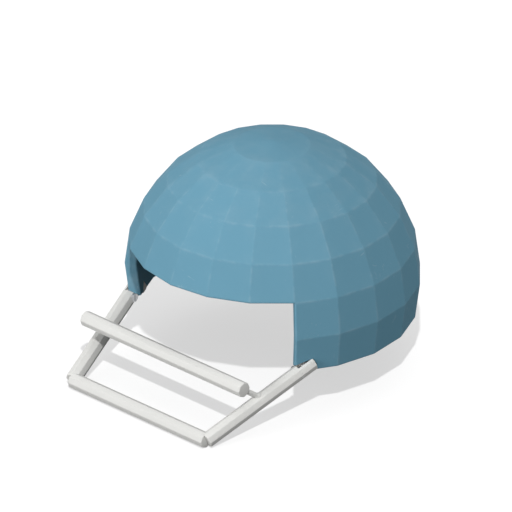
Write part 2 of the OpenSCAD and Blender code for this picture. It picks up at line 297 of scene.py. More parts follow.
def shell_surfaces():
    """Outer and inner skins on one grid of panel coordinates, and a rolled edge that carries a
    rounded profile round the whole boundary: rim, left jamb, brow, right jamb."""
    across, up, side, rise = dome_lines()
    first_post, last_post, brow = OPENING + side, PANELS - OPENING - side, OPENING_TOP + rise
    columns, rows = len(across), len(up)
    a, b = np.meshgrid(across, up)
    parts, faces = [], []
    for number, radius in enumerate((shell_r, inner_r)):
        parts.append(dome_surface(radius, a, b).reshape(-1, 3))
        quads = grid_faces(rows, columns, close_columns=True)
        row, column = quads[:, 0] // columns, quads[:, 0] % columns
        beside = (across[column] > first_post - 1e-9) & (across[column] < last_post - 1e-9)
        faces.append(quads[beside | (up[row] > brow - 1e-9)] + number * rows * columns)
    rim = across[(across > first_post - 1e-9) & (across < last_post + 1e-9)]
    jamb = up[(up > rise + 1e-9) & (up < brow - 1e-9)]
    over = np.concatenate(
        [across[across > last_post - 1e-9], across[across < first_post + 1e-9] + PANELS])
    start = np.concatenate([
        np.stack([rim, np.full_like(rim, rise)], 1),
        np.stack([np.full_like(jamb, last_post), jamb], 1),
        np.stack([over, np.full_like(over, brow)], 1),
        np.stack([np.full_like(jamb, PANELS + first_post), jamb[::-1]], 1)])
    edge = start.copy()
    in_rim = np.arange(len(start)) < len(rim)
    edge[in_rim, 0] = np.where(rim < first_post + 1e-9, OPENING, rim)
    edge[in_rim, 0] = np.where(rim > last_post - 1e-9, PANELS - OPENING, edge[in_rim, 0])
    edge[in_rim, 1] = 0
    edge[~in_rim, 0] = np.clip(start[~in_rim, 0], PANELS - OPENING, PANELS + OPENING)
    edge[~in_rim, 1] = np.minimum(start[~in_rim, 1], OPENING_TOP)
    turn = np.linspace(0, math.pi / 2, 6)
    back = np.concatenate([1 - np.sin(turn), [0, 0], (1 - np.sin(turn))[::-1]])
    roll = EDGE_ROUND * (1 - np.cos(turn))
    depth = np.concatenate([roll, [WALL * 0.35, WALL * 0.65], WALL - roll[::-1]])
    place = edge[:, None] + back[None, :, None] * (start - edge)[:, None]
    share = (depth / WALL)[None, :, None]
    lip = ((1 - share) * dome_surface(shell_r, place[..., 0], place[..., 1])
           + share * dome_surface(inner_r, place[..., 0], place[..., 1]))
    parts.append(lip.reshape(-1, 3))
    faces.append(grid_faces(len(place), len(back), close_rows=True, first=2 * rows * columns))
    keep, renumbered = np.unique(np.concatenate(faces), return_inverse=True)
    return np.concatenate(parts)[keep], renumbered.reshape(-1, 4)


def across_of(direction):
    """Level direction and upward direction across a bar."""
    level = np.cross(direction, [0, 0, 1])
    level /= np.linalg.norm(level)
    return level, np.cross(level, direction)


def loft(name, centres, direction, outlines):
    """A closed solid through outlines, each of two coordinates across the direction, which lie
    at centres along it. The first and last outlines are filled."""
    level, upward = across_of(direction)
    rows, columns = outlines.shape[:2]
    points = centres[:, None] + outlines[..., :1] * level + outlines[..., 1:] * upward
    faces = [tuple(f) for f in grid_faces(rows, columns, close_columns=True)]
    faces += [tuple(range(columns)), tuple(range((rows - 1) * columns, rows * columns))]
    return surface_object(name, points.reshape(-1, 3), faces)


def combine(piece, tools, operation="DIFFERENCE"):
    """Takes the tools' volumes out of the piece, or adds them, and clears the tools away."""
    for tool in tools:
        change = piece.modifiers.new("combine", "BOOLEAN")
        change.operation, change.solver, change.object = operation, "EXACT", tool
        bpy.context.view_layer.objects.active = piece
        bpy.ops.object.modifier_apply(modifier=change.name)
        bpy.data.objects.remove(tool)
    soften(piece)
    return piece


def ring(radius, sides):
    """Corners of a regular polygon, one of them level and one upright."""
    turn = np.arange(sides) * 2 * math.pi / sides
    return radius * np.stack([np.cos(turn), np.sin(turn)], 1)


def prism(name, start, end, radius, sides):
    """A plain cutting tool between two points."""
    ends = np.array([start, end], float)
    return loft(name, ends, (ends[1] - ends[0]) / np.linalg.norm(ends[1] - ends[0]),
                np.repeat(ring(radius, sides)[None], 2, 0))


# The guard's pivot line and the right side bar, which the slots in the shell follow. A stop lug
# thickens the bar's tail inward.
SLOT_GAP = 0.0004
SIDE_TAIL = 0.016
LUG_OUT = 0.003
LUG_LEN = 0.006
ROOM_AHEAD = 0.030
ROOM_STEPS = 6
SCREW_ROOM_R = 0.0044
tilt = next(joint for joint in frame["joints"] if joint["name"] == "guard_tilt")
plate_low, plate_high = (np.array(corner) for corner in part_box("right_hinge_plate"))
chin_low, chin_high = (np.array(corner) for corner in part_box("chin_bar"))
bar_r = float(chin_high[2] - chin_low[2]) / 2
pivot = np.array(tilt["pos_m"], float)
pivot[0] = (plate_low[0] + plate_high[0]) / 2
chin_end = (chin_low + chin_high) / 2
chin_end[0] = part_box("chin_bar")[1][0]
side_dir = (pivot - chin_end) / np.linalg.norm(pivot - chin_end)
side_end = pivot + SIDE_TAIL * side_dir
lug_end = side_end - [LUG_OUT, 0, 0]


def tilted(piece, degrees):
    """Turns a tool about the guard's pivot line, front end up."""
    about = Matrix.Translation(pivot) @ Matrix.Rotation(math.radians(-degrees), 4, "X")
    piece.data.transform(about @ Matrix.Translation(-Vector(pivot)))
    return piece


def mirrored(piece):
    """Turns a right-hand tool or piece into the left-hand one."""
    piece.data.transform(Matrix.Scale(-1, 4, (1, 0, 0)))
    piece.data.flip_normals()
    return piece


def hinge_room():
    """The room that the right side bar and its lug sweep in the wall, with the screw's bore."""
    runs = [(pivot - ROOM_AHEAD * side_dir, side_end + SLOT_GAP * side_dir),
            (lug_end - (LUG_LEN + SLOT_GAP) * side_dir, lug_end + SLOT_GAP * side_dir)]
    shapes = [tilted(prism("room", *run, bar_r + SLOT_GAP, 8), degrees)
              for degrees in np.linspace(0, tilt["range_deg"][1], ROOM_STEPS) for run in runs]
    bore = pivot - [bar_r + 2 * WALL, 0, 0]
    shapes.append(prism("bore", bore, pivot - [bar_r / 2, 0, 0], SCREW_ROOM_R, 40))
    return combine(shapes[0], shapes[1:], "UNION")


shell = surface_object("shell_moulding", *shell_surfaces())
combine(shell, [hinge_room(), mirrored(hinge_room())])

# How close each point lies to a ridge or an edge, for the wear on them: a bell of the distance,
# which fades towards the crown, where the ridges meet.
RIDGE_REACH = 0.0011
CROWN_FADE = 0.06
points = coordinates(shell)
from_axis = np.hypot(points[:, 0], points[:, 1])
azimuth = np.arctan2(points[:, 0], -points[:, 1]) / TURN
to_post = from_axis * np.abs(np.sin((azimuth - np.round(azimuth)) * TURN))
radius = np.where(np.linalg.norm(points, axis=1) > shell_r - WALL / 2, shell_r, inner_r)
to_ring = np.abs(points[:, 2] - radius * np.sin(np.round(np.arcsin(
    np.clip(points[:, 2] / radius, -1, 1)) / RISE) * RISE))
closeness = np.exp(-(np.minimum(to_post, to_ring) / RIDGE_REACH) ** 2)
closeness *= np.clip(from_axis / CROWN_FADE - 0.3, 0, 1)
shell.data.attributes.new("ridge", "FLOAT", "POINT").data.foreach_set("value", closeness)


class Nodes:
    """Short ways to put nodes in a tree and join them."""

    def __init__(self, tree):
        self.tree = tree

    def add(self, kind, **settings):
        node = self.tree.nodes.new(kind)
        for name, value in settings.items():
            setattr(node, name, value)
        return node

    def feed(self, socket, value):
        if isinstance(value, bpy.types.NodeSocket):
            self.tree.links.new(value, socket)
        else:
            socket.default_value = value

    def math(self, operation, a, b=0.0, clamp=False):
        node = self.add("ShaderNodeMath", operation=operation, use_clamp=clamp)
        self.feed(node.inputs[0], a)
        self.feed(node.inputs[1], b)
        return node.outputs[0]

    def noise(self, vector, scale, detail=2.0):
        node = self.add("ShaderNodeTexNoise")
        self.feed(node.inputs["Vector"], vector)
        node.inputs["Scale"].default_value = scale
        node.inputs["Detail"].default_value = detail
        return node.outputs["Fac"]

    def cells(self, vector, scale, feature="F1", randomness=1.0):
        node = self.add("ShaderNodeTexVoronoi", feature=feature)
        self.feed(node.inputs["Vector"], vector)
        node.inputs["Scale"].default_value = scale
        node.inputs["Randomness"].default_value = randomness
        return node.outputs["Distance"]

    def stretched(self, vector, scale):
        node = self.add("ShaderNodeMapping")
        self.feed(node.inputs["Vector"], vector)
        node.inputs["Scale"].default_value = scale
        return node.outputs["Vector"]

    def ramp(self, value, low, high, to_low=0.0, to_high=1.0):
        node = self.add("ShaderNodeMapRange", interpolation_type="SMOOTHSTEP")
        for name, number in zip(("Value", "From Min", "From Max", "To Min", "To Max"),
                                (value, low, high, to_low, to_high)):
            self.feed(node.inputs[name], number)
        return node.outputs["Result"]

    def mix(self, share, a, b):
        node = self.add("ShaderNodeMix", data_type="RGBA")
        for name, value in (("Factor", share), ("A", a), ("B", b)):
            socket = next(s for s in node.inputs if s.name == name and s.enabled)
            self.feed(socket, value)
        return next(s for s in node.outputs if s.enabled)

    def bump(self, height, strength, distance):
        node = self.add("ShaderNodeBump")
        self.feed(node.inputs["Height"], height)
        node.inputs["Strength"].default_value = strength
        node.inputs["Distance"].default_value = distance
        return node.outputs["Normal"]


def new_group(name, inputs, outputs):
    """A shader node group with named sockets: its nodes, its input sockets, its output node."""
    tree = bpy.data.node_groups.new(name, "ShaderNodeTree")
    for label, (kind, value) in inputs.items():
        socket = tree.interface.new_socket(label, in_out="INPUT", socket_type="NodeSocket" + kind)
        if value is not None:
            socket.default_value = value
    for label, kind in outputs.items():
        tree.interface.new_socket(label, in_out="OUTPUT", socket_type="NodeSocket" + kind)
    nodes = Nodes(tree)
    return nodes, nodes.add("NodeGroupInput").outputs, nodes.add("NodeGroupOutput").inputs


def new_material(name):
    """A material with its Principled shader, and the Object coordinates that it reads."""
    material = bpy.data.materials.new(name)
    material.use_nodes = True
    nodes = Nodes(material.node_tree)
    shader = material.node_tree.nodes["Principled BSDF"]
    return material, nodes, shader.inputs, nodes.add("ShaderNodeTexCoord").outputs["Object"]


def use_group(nodes, group, **values):
    """Places a group in a material and feeds its sockets; underscores stand for spaces."""
    node = nodes.add("ShaderNodeGroup", node_tree=group)
    for label, value in values.items():
        nodes.feed(node.inputs[label.replace("_", " ")], value)
    return node.outputs


# Moulded plastic, for the shell and the bars: a fine spark-eroded grain from the mould, a slow
# mottling of the colour, hair scratches and a film of dust on what faces up.
nodes, taken, given = new_group(
    "moulded_plastic",
    {"Vector": ("Vector", None), "Colour": ("Color", (0.5, 0.5, 0.5, 1)), "Grain": ("Float", 1.0),
     "Mottle": ("Float", 0.03), "Scratches": ("Float", 0.3), "Dust": ("Float", 0.1),
     "Wear": ("Float", 0.0)},
    {"Colour": "Color", "Roughness": "Float", "Normal": "Vector"})
place = taken["Vector"]
slow = nodes.noise(place, 18, detail=3)
fine = nodes.noise(place, 260, detail=2)
uneven = nodes.math("SUBTRACT", nodes.math("ADD", slow, nodes.math("MULTIPLY", fine, 0.35)), 0.675)
shade = nodes.math("ADD", nodes.math("MULTIPLY", uneven, taken["Mottle"]), 1.0)
toned = nodes.add("ShaderNodeVectorMath", operation="SCALE")
nodes.feed(toned.inputs[0], taken["Colour"])
nodes.feed(toned.inputs["Scale"], shade)
scratch_a = nodes.noise(nodes.stretched(place, (900, 60, 200)), 1.0, detail=1)
scratch_b = nodes.noise(nodes.stretched(place, (70, 800, 260)), 1.0, detail=1)
scratch = nodes.math("MAXIMUM", nodes.ramp(scratch_a, 0.70, 0.76), nodes.ramp(scratch_b, 0.70, 0.76))
patchy = nodes.ramp(nodes.noise(place, 30, detail=2), 0.50, 0.68)
scratch = nodes.math("MULTIPLY", nodes.math("MULTIPLY", scratch, patchy), taken["Scratches"])
worn = nodes.math("MULTIPLY", taken["Wear"], nodes.ramp(nodes.noise(place, 90, detail=4), 0.35, 0.7))
geometry = nodes.add("ShaderNodeNewGeometry")
facing = nodes.add("ShaderNodeSeparateXYZ")
nodes.feed(facing.inputs[0], geometry.outputs["Normal"])
film = nodes.math("MULTIPLY", taken["Dust"], nodes.ramp(nodes.noise(place, 55, detail=5), 0.4, 0.7))
dusty = nodes.math("MULTIPLY", nodes.ramp(facing.outputs["Z"], 0.45, 1.0), film)
pale = nodes.mix(nodes.math("MULTIPLY", scratch, 0.35), toned.outputs[0], (0.75, 0.77, 0.78, 1))
pale = nodes.mix(nodes.math("MULTIPLY", worn, 0.35), pale, (0.72, 0.77, 0.80, 1))
pale = nodes.mix(nodes.math("MULTIPLY", dusty, 0.3), pale, (0.62, 0.60, 0.56, 1))
nodes.feed(given["Colour"], pale)
rough = nodes.math("ADD", nodes.math("MULTIPLY", slow, 0.12), 0.54)
rough = nodes.math("ADD", rough, nodes.math("MULTIPLY", nodes.math("ADD", worn, dusty), 0.2))
scratched = nodes.math("MULTIPLY", scratch, 0.15)
nodes.feed(given["Roughness"], nodes.math("ADD", rough, scratched, clamp=True))
cells = nodes.math("MULTIPLY", nodes.cells(place, 900), 0.5)
pits = nodes.math("ADD", nodes.noise(place, 1300, detail=2), cells)
pits = nodes.math("MULTIPLY", pits, taken["Grain"])
height = nodes.math("SUBTRACT", pits, nodes.math("MULTIPLY", scratch, 0.8))
nodes.feed(given["Normal"], nodes.bump(height, 0.35, 0.00008))
moulded_plastic = nodes.tree


def feed_surface(nodes, shader, skin):
    """Feeds what a surface group puts out to the material's shader."""
    nodes.feed(shader["Base Color"], skin["Colour"])
    nodes.feed(shader["Roughness"], skin["Roughness"])
    nodes.feed(shader["Normal"], skin["Normal"])


SHELL_BLUE = (0.129, 0.293, 0.392, 1)
RIDGE_WEAR = 0.22
material, nodes, shader, place = new_material("steel_blue_moulding")
ridge = nodes.add("ShaderNodeAttribute", attribute_name="ridge").outputs["Fac"]
skin = use_group(nodes, moulded_plastic, Vector=place, Colour=SHELL_BLUE, Grain=1.0, Mottle=0.06,
                 Scratches=0.35, Dust=0.10, Wear=nodes.math("MULTIPLY", ridge, RIDGE_WEAR))
feed_surface(nodes, shader, skin)
shader["Specular IOR Level"].default_value = 0.02
shell.data.materials.append(material)
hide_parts("shell")
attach(shell, "helmet")

# ---------------------------------------------------------------------------------------------
# Chin bar and crossbar: eight-sided bars moulded in off-white nylon, with softened corners and
# ends. The chin bar is coped to the side bars.
CORNER_ROUND = 0.0011
END_ROUND = 0.0009
BAR_STEP = 0.006
COPE_OVERLAP = 0.0001
COPE_REACH = 0.03
CROSS_HALF = float(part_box("cross_bar")[1][0])
cross_centre = (np.array(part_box("cross_bar")[0]) + np.array(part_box("cross_bar")[1])) / 2


def soft_octagon(radius, corner):
    """An octagon whose eight corners are arcs of the corner radius, tangent to the flats."""
    middle = np.arange(8) * math.pi / 4
    turn = middle[:, None] + np.linspace(-math.pi / 8, math.pi / 8, 5)
    reach = radius - CORNER_ROUND / math.cos(math.pi / 8)
    outline = reach * np.stack([np.cos(middle), np.sin(middle)], 1)[:, None]
    return (outline + corner * np.stack([np.cos(turn), np.sin(turn)], -1)).reshape(-1, 2)


def bar_solid(name, start, end, radius=bar_r):
    """A soft octagon carried from start to end. At each end its flats come in by the arc
    e (1 - cos) while it runs e sin, which rounds the end's edge; long runs are cut up evenly."""
    start, end = np.asarray(start, float), np.asarray(end, float)
    length = np.linalg.norm(end - start)
    turn = np.linspace(math.pi / 2, 0, 5)
    along = END_ROUND * (1 - np.sin(turn))
    inset = END_ROUND * (1 - np.cos(turn))
    steps = np.linspace(END_ROUND, length - END_ROUND, max(3, int(length / BAR_STEP)))[1:-1]
    run = np.concatenate([along, steps, length - along[::-1]])
    inset = np.concatenate([inset, np.zeros(len(steps)), inset[::-1]])
    outlines = np.stack([soft_octagon(radius, CORNER_ROUND - amount) for amount in inset])
    direction = (end - start) / length
    return loft(name, start + run[:, None] * direction, direction, outlines)


BAR_WHITE = (0.68, 0.68, 0.66, 1)
material, nodes, shader, place = new_material("off_white_nylon")
skin = use_group(nodes, moulded_plastic, Vector=place, Colour=BAR_WHITE, Grain=0.8, Mottle=0.06,
                 Scratches=0.25, Dust=0.2, Wear=0.0)
feed_surface(nodes, shader, skin)
shader["Specular IOR Level"].default_value = 0.03
bar_white = material


def finish_bar(piece, *nodes):
    """The bars' shared finish and places in the frame."""
    piece.data.materials.clear()
    piece.data.materials.append(bar_white)
    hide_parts(*nodes)
    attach(piece, "guard")


def cope():
    """The end of the right side bar, as a tool that cuts the chin bar to fit it."""
    return prism("cope", chin_end - COPE_OVERLAP * side_dir, chin_end + COPE_REACH * side_dir, bar_r, 8)


chin = bar_solid("chin_bar_moulding", chin_end * [-1, 1, 1], chin_end)
combine(chin, [cope(), mirrored(cope())])
finish_bar(chin, "chin_bar")
cross_end = cross_centre + [CROSS_HALF, 0, 0]
cross = bar_solid("cross_bar_moulding", cross_end * [-1, 1, 1], cross_end)
finish_bar(cross, "cross_bar")

# ---------------------------------------------------------------------------------------------
# Side bars: the same moulded bar, from the chin bar's ends back into the shell's jaw corners.
# The tail is slotted over the hinge plate and bored for the pivot screw.
PLATE_SLOT = 0.0048
POCKET_R = 0.0056
HEAD_SEAT = 0.0019
HEAD_SEAT_R = 0.00405
SHANK_R = 0.00255
SHANK_COVER = 0.0008
SLOT_BEYOND = 0.01
SLOT_HALF_HEIGHT = 0.02


def side_bar():
    """The right side bar with its stop lug, and its pocket, slot and bores cut."""
    piece = bar_solid("side_bar_moulding", chin_end, side_end)
    combine(piece, [bar_solid("lug", lug_end - LUG_LEN * side_dir, lug_end)], "UNION")
    behind = side_end + SLOT_BEYOND * side_dir
    half = np.array([PLATE_SLOT / 2, 0, 0])
    along = side_dir * [0, 1, 1] / np.linalg.norm(side_dir[1:])
    rise = SLOT_HALF_HEIGHT * np.cross(along, [1, 0, 0])
    corners = [at + x * half + z * rise for at in (pivot, behind)
               for x, z in ((-1, -1), (1, -1), (1, 1), (-1, 1))]
    faces = [(0, 1, 2, 3), (4, 5, 6, 7), (0, 1, 5, 4), (1, 2, 6, 5), (2, 3, 7, 6), (3, 0, 4, 7)]
    slot = surface_object("slot", corners, faces)
    pocket = prism("pocket", pivot - half, pivot + half, POCKET_R, 48)
    shank_end = pivot + [bar_r - SHANK_COVER, 0, 0]
    shank = prism("shank", pivot - [bar_r, 0, 0], shank_end, SHANK_R, 32)
    seat_end = pivot - [bar_r - HEAD_SEAT, 0, 0]
    seat = prism("seat", pivot - [2 * bar_r, 0, 0], seat_end, HEAD_SEAT_R, 40)
    return combine(piece, [slot, pocket, shank, seat])


for side, name in ((1, "right"), (-1, "left")):
    bar = side_bar()
    bar.name = name + "_side_bar_moulding"
    if side < 0:
        mirrored(bar)
    finish_bar(bar, name + "_side_bar")

# ---------------------------------------------------------------------------------------------
# Stays: two thin steel rods in a moulded nylon skin. They carry the crossbar on the side bars,
# and the skin thickens to a small collar where a rod enters a bar.
STAY_INSET = 0.008
STAY_ALONG = 0.063
STAY_R = 0.0025
COLLAR = 0.0009
COLLAR_WIDTH = 0.0013


def stay():
    """The right stay: a round profile carried from the crossbar's axis to the side bar's. Its
    radius grows by the collar near each bar's surface, falling off as a smooth bell."""
    start = cross_centre + [CROSS_HALF - STAY_INSET, 0, 0]
    end = chin_end + STAY_ALONG * side_dir
    length = np.linalg.norm(end - start)
    run = np.linspace(0, length, 60)
    beyond = np.maximum(np.minimum(run, length - run) - bar_r, 0)
    radius = STAY_R + COLLAR * np.exp(-(beyond / COLLAR_WIDTH) ** 2)
    return loft("stay", start + run[:, None] * (end - start) / length, (end - start) / length,
                radius[:, None, None] * ring(1, 28))


for side, name in ((1, "right"), (-1, "left")):
    piece = stay()
    piece.name = name + "_stay_rod"
    if side < 0:
        mirrored(piece)
    finish_bar(piece, name + "_stay")

# ---------------------------------------------------------------------------------------------
# Firm foam blocks: moulded bead foam in charcoal, seven pieces that fit the shell's inside and
# hang on studs. Every edge is rounded, and the skin shows the beads.
SOFT_GAP = 0.0003
LINER_R = inner_r * math.cos(RISE / 2) * math.cos(TURN / 2) - SOFT_GAP
FOAM_EDGE = 0.0025
FOAM_CORNER = 0.012
CROWN_LOW = 56
zones = {
    "brow": ((0, 46, 21, 48), 0.008),
    "right_side": ((93, 25, -9, 42), 0.022),
    "left_side": ((-93, 25, -9, 42), 0.022),
    "right_rear": ((148, 24, 12, 44), 0.010),
    "left_rear": ((-148, 24, 12, 44), 0.010),
    "nape": ((180, 50, -11, 8), 0.010),
    "crown": (None, 0.014),
}


def half_sizes(zone):
    """Half width and half height of a zone on the liner's sphere, in metres."""
    if zone is None:
        return np.full(2, LINER_R * math.radians(90 - CROWN_LOW))
    middle, half_turn, lowest, highest = np.radians(zone)
    return LINER_R * np.array([half_turn * math.cos((lowest + highest) / 2), (highest - lowest) / 2])


def place_in_zone(zone, across, up, height):
    """Points at metres across and up from the zone's middle and height in from the liner's
    sphere. A zone is a piece of a sphere between azimuths and latitudes; the crown's is round,
    with its distances measured from the pole."""
    if zone is None:
        turn, latitude = np.arctan2(across, -up), math.pi / 2 - np.hypot(across, up) / LINER_R
    else:
        middle, half_turn, lowest, highest = np.radians(zone)
        half = half_sizes(zone)
        turn = middle + across / half[0] * half_turn
        latitude = (lowest + highest) / 2 + up / half[1] * (highest - lowest) / 2
    reach = LINER_R - height
    return np.stack([reach * np.cos(latitude) * np.sin(turn), -reach * np.cos(latitude) * np.cos(turn),
                     reach * np.sin(latitude)], -1)


def round_outline(half, corner, count=160):
    """Points round a rectangle with arcs for corners, spaced evenly along its length."""
    turn = (np.arange(4)[:, None] * math.pi / 2 + np.linspace(0, math.pi / 2, 12)).ravel()
    centre = np.repeat([[1, 1], [-1, 1], [-1, -1], [1, -1]], 12, 0) * (half - corner)
    path = centre + corner * np.stack([np.cos(turn), np.sin(turn)], 1)
    path = np.concatenate([path, path[:1]])
    run = np.concatenate([[0], np.cumsum(np.linalg.norm(np.diff(path, axis=0), axis=1))])
    even = np.linspace(0, run[-1], count, endpoint=False)
    return np.stack([np.interp(even, run, path[:, k]) for k in (0, 1)], 1)


def block(name, zone, corner, shares, insets, heights):
    """A closed form over a zone: its outline is shrunk to each share, drawn in by each inset
    and placed at each height, from the middle of the outer face to that of the inner one."""
    half = half_sizes(zone)
    corner = half[0] if zone is None else corner
    outline = round_outline(half, corner)
    spread = shares[:, None, None] * outline * (1 - insets[:, None, None] / half)
    points = place_in_zone(zone, spread[..., 0], spread[..., 1], heights[:, None])
    return surface_object(name, points.reshape(-1, 3),
                          grid_faces(len(shares), len(outline), close_columns=True))


def block_profile(base, thick, edge, crown=0.0):
    """Shares, insets and heights of a block's profile: flat outer face, edge arc, side, edge
    arc, and an inner face that rises by the crown towards its middle as 1 - share squared."""
    face = np.linspace(0, 1, 16)[:-1]
    turn = np.linspace(0, math.pi / 2, 6)
    arc_in, arc_up = edge * (1 - np.sin(turn)), edge * (1 - np.cos(turn))
    sides = np.linspace(edge, thick - edge, 5)[1:-1]
    shares = np.concatenate([face, np.ones(15), face[::-1]])
    insets = np.concatenate([np.full(15, edge), arc_in, np.zeros(3), arc_in[::-1], np.full(15, edge)])
    heights = np.concatenate([np.zeros(15), arc_up, sides, thick - arc_up[::-1],
                              thick + crown * (1 - face[::-1] ** 2)])
    return shares, insets, base + heights


material, nodes, shader, place = new_material("charcoal_bead_foam")
beads = nodes.cells(place, 330, feature="DISTANCE_TO_EDGE")
tone = nodes.noise(place, 40, detail=3)
skin = nodes.mix(nodes.ramp(beads, 0.0, 0.12), (0.012, 0.012, 0.013, 1), (0.040, 0.042, 0.045, 1))
skin = nodes.mix(nodes.ramp(tone, 0.35, 0.7), skin, (0.058, 0.060, 0.063, 1))
nodes.feed(shader["Base Color"], skin)
nodes.feed(shader["Roughness"], nodes.ramp(tone, 0.3, 0.7, 0.70, 0.88))
bulge = nodes.math("MINIMUM", beads, 0.25)
bulge = nodes.math("ADD", bulge, nodes.math("MULTIPLY", nodes.noise(place, 1500), 0.08))
nodes.feed(shader["Normal"], nodes.bump(bulge, 0.8, 0.0006))
shader["Specular IOR Level"].default_value = 0.3
bead_foam = material

for name, (zone, foam) in zones.items():
    piece = block(name + "_bead_foam", zone, FOAM_CORNER, *block_profile(0.0, foam, FOAM_EDGE))
    piece.data.materials.append(bead_foam)
    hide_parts(name + "_foam_block")
    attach(piece, "helmet")

# ---------------------------------------------------------------------------------------------
# Comfort pads: soft foam in dark grey spacer knit, one on each block. Each cover is blown up by
# a cloth simulation, sewn down in channels, and closed with a corded piping round its edge.
PAD_THICK = 0.012
PAD_START = 0.0078
PAD_INSET = 0.0035
PAD_CORNER = 0.016
PAD_EDGE = 0.0034
PAD_CROWN = 0.0008
GLUED_HEIGHT = 0.0012
SWELL = 0.0040
VOXEL = 0.0045
CHANNEL_DEPTH = 0.0030
CHANNEL_WIDTH = 0.0022
CHANNEL_STEP = 0.030
CHANNEL_FADE = 0.006
PUCKER = 0.16
PIPING_R = 0.0014
PIPING_CORNER = 0.014
PIPING_TWIST = 0.0042
STITCH = 0.0030
STITCH_STEP = 0.0046
STITCH_END = 0.011
THREAD_SINK = 0.0001
SEARCH_FROM = 0.005


def applied(piece, kind, **settings):
    """Puts a modifier on a piece and applies it."""
    change = piece.modifiers.new(kind.lower(), kind)
    for name, value in settings.items():
        setattr(change, name, value)
    bpy.context.view_layer.objects.active = piece
    bpy.ops.object.modifier_apply(modifier=change.name)


def blow_up(piece, fixed):
    """Swells a closed cover from inside with Cloth's pressure and no gravity. The fixed points
    stay on the foam, and no point moves further than SWELL."""
    rest = coordinates(piece)
    pinned = piece.vertex_groups.new(name="on_foam")
    pinned.add([int(number) for number in np.flatnonzero(fixed)], 1.0, "REPLACE")
    cloth = piece.modifiers.new("cloth", "CLOTH")
    cloth.settings.vertex_group_mass = "on_foam"
    cloth.settings.use_pressure = True
    cloth.settings.uniform_pressure_force = 4.0
    cloth.settings.quality = 5
    cloth.settings.effector_weights.gravity = 0.0
    cloth.point_cache.frame_start, cloth.point_cache.frame_end = 1, 20
    for number in range(1, 21):
        bpy.context.scene.frame_set(number)
    moved = piece.evaluated_get(bpy.context.evaluated_depsgraph_get()).to_mesh()
    swollen = np.empty(len(moved.vertices) * 3)
    moved.vertices.foreach_get("co", swollen)
    piece.modifiers.remove(cloth)
    piece.vertex_groups.clear()
    bpy.context.scene.frame_set(1)
    step = swollen.reshape(-1, 3) - rest
    far = np.linalg.norm(step, axis=1, keepdims=True)
    step *= np.minimum(1, SWELL / np.maximum(far, 1e-9))
    piece.data.vertices.foreach_set("co", (rest + step).ravel())


def spread_of(zone, points):
    """Metres across, metres up and height of points in a zone: place_in_zone turned round."""
    reach = np.linalg.norm(points, axis=1)
    latitude = np.arcsin(np.clip(points[:, 2] / reach, -1, 1))
    turn = np.arctan2(points[:, 0], -points[:, 1])
    if zone is None:
        out = (math.pi / 2 - latitude) * LINER_R
        return out * np.sin(turn), -out * np.cos(turn), LINER_R - reach
    middle, half_turn, lowest, highest = np.radians(zone)
    half = half_sizes(zone)
    turn = (turn - middle + math.pi) % (2 * math.pi) - math.pi
    return (turn / half_turn * half[0], (latitude - (lowest + highest) / 2) * 2 * half[1]
            / (highest - lowest), LINER_R - reach)


def channels(zone):
    """Places across the pad where it is sewn down: evenly spaced, about a step apart."""
    half = half_sizes(zone)
    count = max(1, round(2 * half[0] / CHANNEL_STEP) - 1)
    return (np.arange(1, count + 1) / (count + 1) * 2 - 1) * half[0]


def sew_down(piece, zone, base):
    """Draws the cover towards the foam along each channel by depth times a bell of the distance,
    with small puckers along the seam, and keeps the pad inside its room."""
    across, up, height = spread_of(zone, coordinates(piece))
    half = half_sizes(zone)
    to_edge = half[1] - PAD_INSET - np.abs(up)
    if zone is None:
        to_edge = half[0] - PAD_INSET - np.hypot(across, up)
    margin = np.clip(to_edge / CHANNEL_FADE, 0, 1)
    inner = np.clip((height - base - 0.002) / 0.004, 0, 1)
    for line in channels(zone):
        away = across - line
        pucker = 1 + PUCKER * np.sin(up / 0.0035) * np.exp(-(away / 0.005) ** 2)
        height -= CHANNEL_DEPTH * pucker * np.exp(-(away / CHANNEL_WIDTH) ** 2) * margin * inner
    height = np.clip(height, base, base + PAD_THICK - 0.0002)
    piece.data.vertices.foreach_set("co", place_in_zone(zone, across, up, height).ravel())


def piping(zone, base):
    """A cord round the pad's edge: a circle carried round the outline, its radius rising and
    falling in a slow twist, as the thread of a corded edge does."""
    half = half_sizes(zone)
    edge = round_outline(half, half[0] if zone is None else PIPING_CORNER, 360)
    edge = edge * (1 - (PAD_INSET * 0.55) / half)
    line = place_in_zone(zone, edge[:, 0], edge[:, 1], np.full(len(edge), base + PIPING_R * 1.15))
    along = np.roll(line, -1, 0) - np.roll(line, 1, 0)
    run = np.cumsum(np.linalg.norm(along, axis=1)) / 2
    outward = line / np.linalg.norm(line, axis=1, keepdims=True)
    beside = np.cross(along, outward)
    beside /= np.linalg.norm(beside, axis=1, keepdims=True)
    sides = 10
    turn = np.arange(sides) * 2 * math.pi / sides
    twists = round(run[-1] / PIPING_TWIST) * 2 * math.pi / run[-1]
    radius = PIPING_R * (1 + 0.07 * np.cos(turn[None] * 2 + run[:, None] * twists))
    points = (line[:, None] + radius[..., None] * (np.cos(turn)[None, :, None] * outward[:, None]
                                                   + np.sin(turn)[None, :, None] * beside[:, None]))
    return points.reshape(-1, 3), grid_faces(len(line), sides, close_rows=True, close_columns=True)


